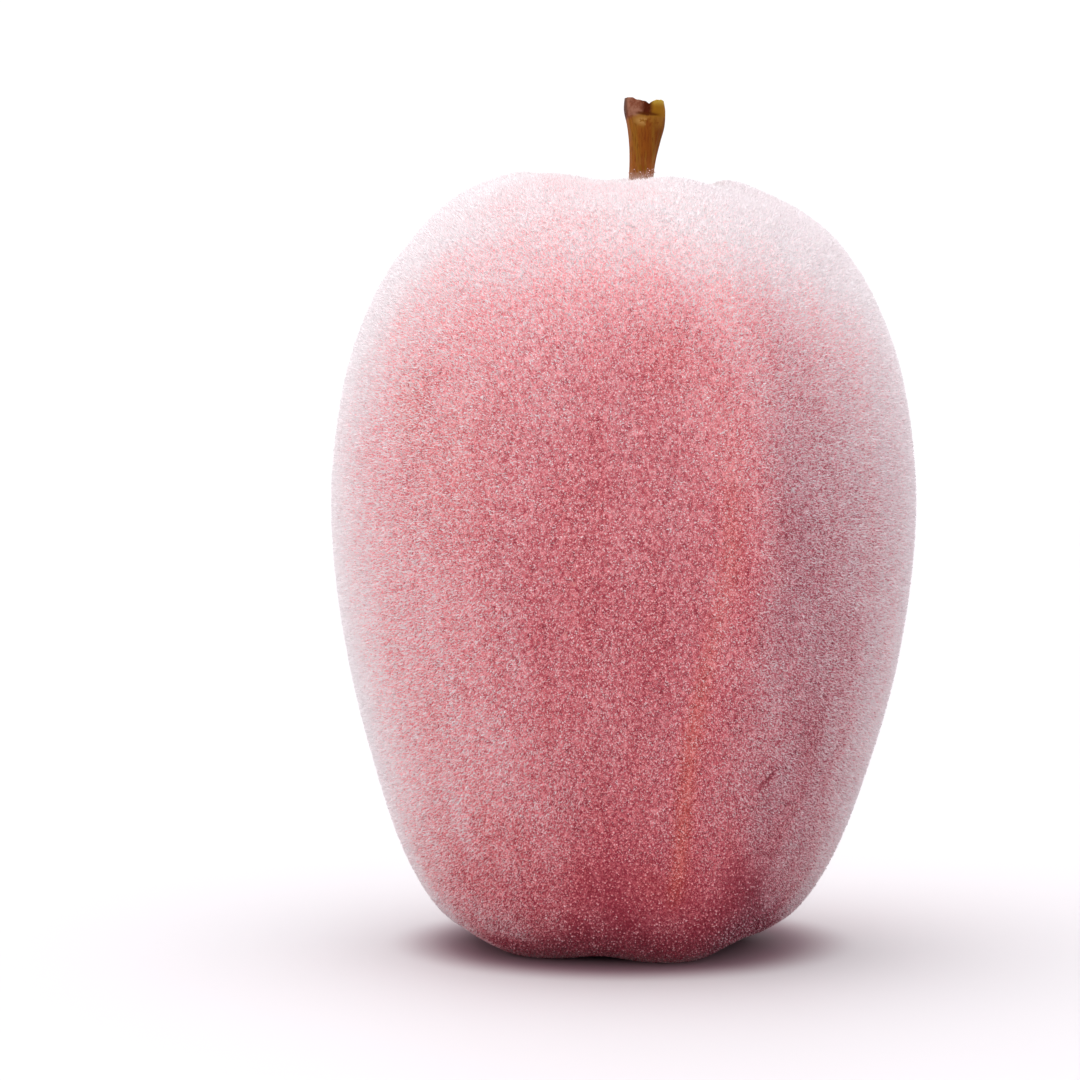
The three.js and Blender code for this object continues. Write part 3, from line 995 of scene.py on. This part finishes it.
# A sepal of the dried flower, from its root to its curled tip, in millimetres: distance from the
# eye's middle, height, width and thickness.
SEPAL = np.array([
    [2.2, 8.9, 2.5, 0.60],
    [2.5, 7.4, 3.0, 0.42],
    [1.9, 5.9, 2.6, 0.34],
    [1.7, 4.6, 1.8, 0.28],
    [2.5, 3.65, 1.0, 0.24],
    [3.6, 3.35, 0.3, 0.20],
])

# The cup that holds the sepals, from its middle out to its rim and back: radius and height.
CUP = [(0.02, 9.45), (1.6, 9.4), (3.0, 9.3), (3.05, 8.4), (2.5, 7.9), (2.2, 8.3), (0.02, 8.6)]


def turned(outward, across, height, azimuth):
    """Points from their distances outward, across and up, turned to an azimuth."""
    x = outward * math.sin(azimuth) + across * math.cos(azimuth)
    y = -outward * math.cos(azimuth) + across * math.sin(azimuth)
    return np.stack(np.broadcast_arrays(x, y, height), -1)


def cup_tube(turns):
    """The wrinkled cup, which grows out of the floor of the eye."""
    folds = 1 + 0.05 * np.sin(5 * turns + 1) + 0.03 * np.sin(13 * turns)
    radius, height = np.array(CUP).T[..., None]
    x = radius * folds * np.cos(turns)
    y = radius * folds * np.sin(turns)
    return np.stack(np.broadcast_arrays(x, y, height), -1)


def sepal_tube(random, turns, k):
    """One curled sepal with thin edges."""
    azimuth = math.radians(62 + 72 * k + random.uniform(-6, 6))
    t = np.linspace(0, 1, 30)[:, None]
    distance, height, width, thickness = curve_through(SEPAL, t[:, 0]).T[..., None]
    curl = random.uniform(-0.25, 0.35)
    across = np.cos(turns) * width / 2 * (1 - 0.12 * np.sin(turns * 2 + 9 * t))
    fold = 0.16 * across**2 + 0.10 * np.sin(across * 5 + k + 6 * t)
    outward = distance - fold + np.sin(turns) * thickness / 2 + curl * t**2
    across = across + 0.5 * random.uniform(-1, 1) * t**2
    return turned(outward, across, height + 0.08 * np.sin(7 * across + 5 * t), azimuth)


def stamen_tube(random, turns, k):
    """One of twelve stamens, a thread with a thicker tip."""
    azimuth = 2 * np.pi * k / 12 + random.uniform(-0.15, 0.15)
    t = np.linspace(0, 1, 10)[:, None]
    bend = random.uniform(-0.5, 0.5)
    distance = 1.6 - 0.9 * t + bend * t * (1 - t) * 2
    sideways = random.uniform(-0.4, 0.4) * t**2
    radius = 0.10 + 0.14 * smoothstep(t, 0.85, 0.95) - 0.1 * (t > 0.99)
    outward = distance + radius * np.cos(turns)
    across = sideways + radius * np.sin(turns)
    return turned(outward, across, 8.6 - random.uniform(2.8, 3.8) * t, azimuth)


def dried_flower_tubes(random):
    """The cup, five sepals and a dozen stamens as tubes: arrays of rings of points."""
    turns = np.linspace(0, 2 * np.pi, 24, endpoint=False)
    return [
        cup_tube(turns),
        *(sepal_tube(random, turns, k) for k in range(5)),
        *(stamen_tube(random, turns[::3], k) for k in range(12)),
    ]


def dried_material(props):
    """Brown, papery and streaked, and darker at the tips."""
    m = new_material("apple_dried_flower")
    x, y, z, _ = m.place()
    streaks = m.noise(m.vector(x, y, z * 0.2), 2.0, 3.0, 0.6)
    colour = m.blend(streaks.between(0.35, 0.65), props.dried, (0.30, 0.20, 0.11))
    colour = m.blend(z.between(5.0, 3.2) * 0.6, colour, (0.05, 0.028, 0.018))
    return m.surface(Base_Color=colour, Roughness=0.85, Normal=m.bump(streaks, 0.6, 0.1 * MM))


class APPLE_OT_dried_flower(Operator):
    """Make the dried flower in the eye"""

    bl_idname = "apple.dried_flower"
    bl_label = "Dried flower"

    def execute(self, context):
        middle = np.array([-0.3, 0.55, 0.0]) - MIDDLE
        points, faces = [], []
        start = 0
        for tube in dried_flower_tubes(np.random.default_rng(SEED + 7)):
            rings, around, _ = tube.shape
            points.append(tube.reshape(-1, 3) + middle)
            faces.append(tube_faces(rings, around) + start)
            start += rings * around
        mesh_piece(
            "apple_dried_flower", np.concatenate(points), np.concatenate(faces),
            dried_material(context.scene.apple_stalk), nodes=["calyx"])
        return {"FINISHED"}


class APPLE_OT_stage(Operator):
    """Set up the floor, the light and the camera"""

    bl_idname = "apple.stage"
    bl_label = "Stage"

    def execute(self, context):
        props = context.scene.apple_stage
        self.add_floor(props)
        self.add_light(context, props)
        self.add_camera(context, props)
        return {"FINISHED"}

    @staticmethod
    def add_floor(props):
        """A floor that fades out far from the apple, with a painted shadow at its foot, reddened as
        by the apple's bounce light.
        """
        m = new_material("floor")
        x, y, _, _ = m.place()
        distance = (x * x + y * y) ** 0.5
        # Painted shadow, reddened as by the apple's bounce light: full within 19 mm of the apple's
        # axis, gone at 29 mm.
        colour = m.blend(distance.between(29, 19) * 0.9, props.floor, props.painted_contact_shadow)
        far = distance.between(500, 1400)
        shader = m.node("ShaderNodeBsdfPrincipled", None, {
            "Base Color": colour, "Roughness": 0.65, "Specular IOR Level": 0.25})
        gone = m.node("ShaderNodeBsdfTransparent")
        both = m.node("ShaderNodeMixShader", None, [far, shader, gone])
        m.node("ShaderNodeOutputMaterial", None, {"Surface": both})
        bpy.ops.mesh.primitive_circle_add(vertices=96, radius=1.5, fill_type="NGON")
        floor = bpy.context.object
        floor.name = "floor"
        floor.data.materials.append(m.owner)

    @staticmethod
    def add_light(context, props):
        """White light all round, brighter from some directions than from others."""
        world = bpy.data.worlds.new("studio")
        context.scene.world = world
        m = Material(world)
        way = m.node("ShaderNodeTexCoord", output="Generated")
        x, y, z = (m.node("ShaderNodeSeparateXYZ", None, [way], axis) for axis in range(3))
        # How far a direction points to above the viewer, and to the upper left.
        above = z * 0.88 - y * 0.47
        side = z * 0.56 + y * 0.20 - x * 0.80
        light = (
            y.between(0.3, 0.9) * props.back
            + above.between(0.3, 0.95) * props.top
            + z.between(0.7, 1.0) * props.zenith
            + side.between(0.35, 0.95) * props.left
            + x.between(0.0, 0.8) * y.between(0.95, 0.5) * props.right
            + props.ambient)
        background = m.node(
            "ShaderNodeBackground", None, {"Color": (0.985, 0.985, 1.0, 1.0), "Strength": light})
        m.node("ShaderNodeOutputWorld", None, {"Surface": background})
        context.scene.view_settings.view_transform = "Standard"

    @staticmethod
    def add_camera(context, props):
        data = bpy.data.cameras.new("camera")
        data.lens = props.lens
        data.sensor_width = 36.0
        data.clip_start = 0.05
        data.clip_end = 20.0
        camera = bpy.data.objects.new("camera", data)
        camera.location = (0.0, -props.distance, props.height)
        camera.rotation_euler = (math.pi / 2 - props.pitch, 0.0, props.turn)
        context.scene.collection.objects.link(camera)
        context.scene.camera = camera


class APPLE_PT_panel(Panel):
    """The apple's pieces and their settings"""

    bl_idname = "APPLE_PT_panel"
    bl_label = "Apple"
    bl_space_type = "VIEW_3D"
    bl_region_type = "UI"
    bl_category = "Apple"

    def draw(self, context):
        for operator in OPERATORS:
            self.layout.operator(operator.bl_idname)
        for settings in GROUPS:
            group = getattr(context.scene, settings)
            for name in group.__annotations__:
                self.layout.prop(group, name)


OPERATORS = [
    APPLE_OT_skin,
    APPLE_OT_frost,
    APPLE_OT_stalk,
    APPLE_OT_dried_flower,
    APPLE_OT_stage,
]
GROUPS = {
    "apple_skin": APPLE_PG_skin,
    "apple_frost": APPLE_PG_frost,
    "apple_stalk": APPLE_PG_stalk,
    "apple_stage": APPLE_PG_stage,
}


def register():
    for group in GROUPS.values():
        bpy.utils.register_class(group)
    for operator in OPERATORS:
        bpy.utils.register_class(operator)
    bpy.utils.register_class(APPLE_PT_panel)
    for name, group in GROUPS.items():
        setattr(bpy.types.Scene, name, PointerProperty(type=group))


def unregister():
    for name in GROUPS:
        delattr(bpy.types.Scene, name)
    bpy.utils.unregister_class(APPLE_PT_panel)
    for operator in reversed(OPERATORS):
        bpy.utils.unregister_class(operator)
    for group in reversed(GROUPS.values()):
        bpy.utils.unregister_class(group)


def main():
    register()
    for operator in OPERATORS:
        group, name = operator.bl_idname.split(".")
        getattr(getattr(bpy.ops, group), name)()


if __name__ == "__main__":
    main()
